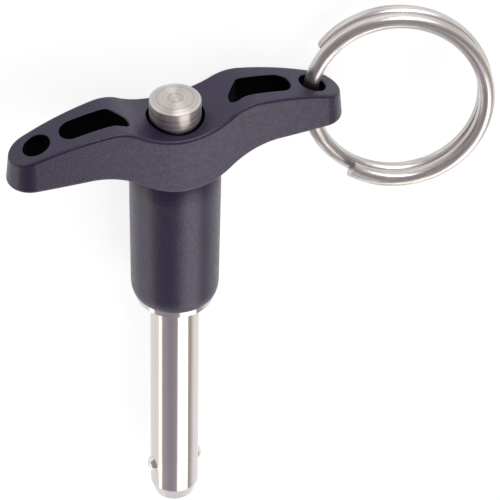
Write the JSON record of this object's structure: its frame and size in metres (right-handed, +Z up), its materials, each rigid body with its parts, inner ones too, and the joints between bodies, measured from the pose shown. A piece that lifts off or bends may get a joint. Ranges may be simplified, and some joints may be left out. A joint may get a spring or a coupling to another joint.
{
  "type": "ball lock pin",
  "caption": "Quick-release pin with a slotted T-handle and a key ring: pressing the button on top lets the locking balls sink into the shank so that it slides out.",
  "frame": {"origin": "centre of the shank where it leaves the face of its collar, the shoulder that stops the pin in its hole", "axes": "+Y along the shank towards its tip; +Z up from the table that the pin lies on; the push button faces -Y and the wing with the ring points to -X"},
  "size_m": [0.0803, 0.0929, 0.0148],
  "materials": {
    "handle": "fine moulded texture, dark grey",
    "shank_steel": "turned and ground stainless steel",
    "spindle_steel": "ground steel",
    "button_steel": "turned stainless steel",
    "spring_steel": "drawn wire",
    "ball_steel": "polished bearing balls",
    "ring_steel": "bright drawn wire"
  },
  "bodies": {
    "pin": {"t_handle": "handle", "shank": "shank_steel", "return_spring": "spring_steel"},
    "button": {"push_button": "button_steel", "spindle": "spindle_steel"},
    "left_ball": {"ball_left": "ball_steel"},
    "right_ball": {"ball_right": "ball_steel"},
    "ring": {"split_ring": "ring_steel"}
  },
  "joints": [
    {"name": "button_press", "type": "slide", "parent": "pin", "child": "button", "axis": [0, 1, 0], "range_m": [0, 0.0032], "stiffness_N_per_m": 1500, "springref_m": -0.003, "deforming": ["return_spring"]},
    {"name": "left_ball_sink", "type": "slide", "parent": "pin", "child": "left_ball", "axis": [-0.9789, 0, -0.2042], "range_m": [0, 0.00085]},
    {"name": "right_ball_sink", "type": "slide", "parent": "pin", "child": "right_ball", "axis": [0.9789, 0, 0.2042], "range_m": [0, 0.00085]},
    {"name": "ring_swing", "type": "hinge", "parent": "pin", "child": "ring", "pos_m": [-0.02309, -0.03434, -0.00316], "axis": [0, 1, 0], "range_deg": [-150, 130]}
  ],
  "couplings": [
    {"joint": "left_ball_sink", "follows": "button_press", "ratio": 0.2656},
    {"joint": "right_ball_sink", "follows": "button_press", "ratio": 0.2656}
  ]
}
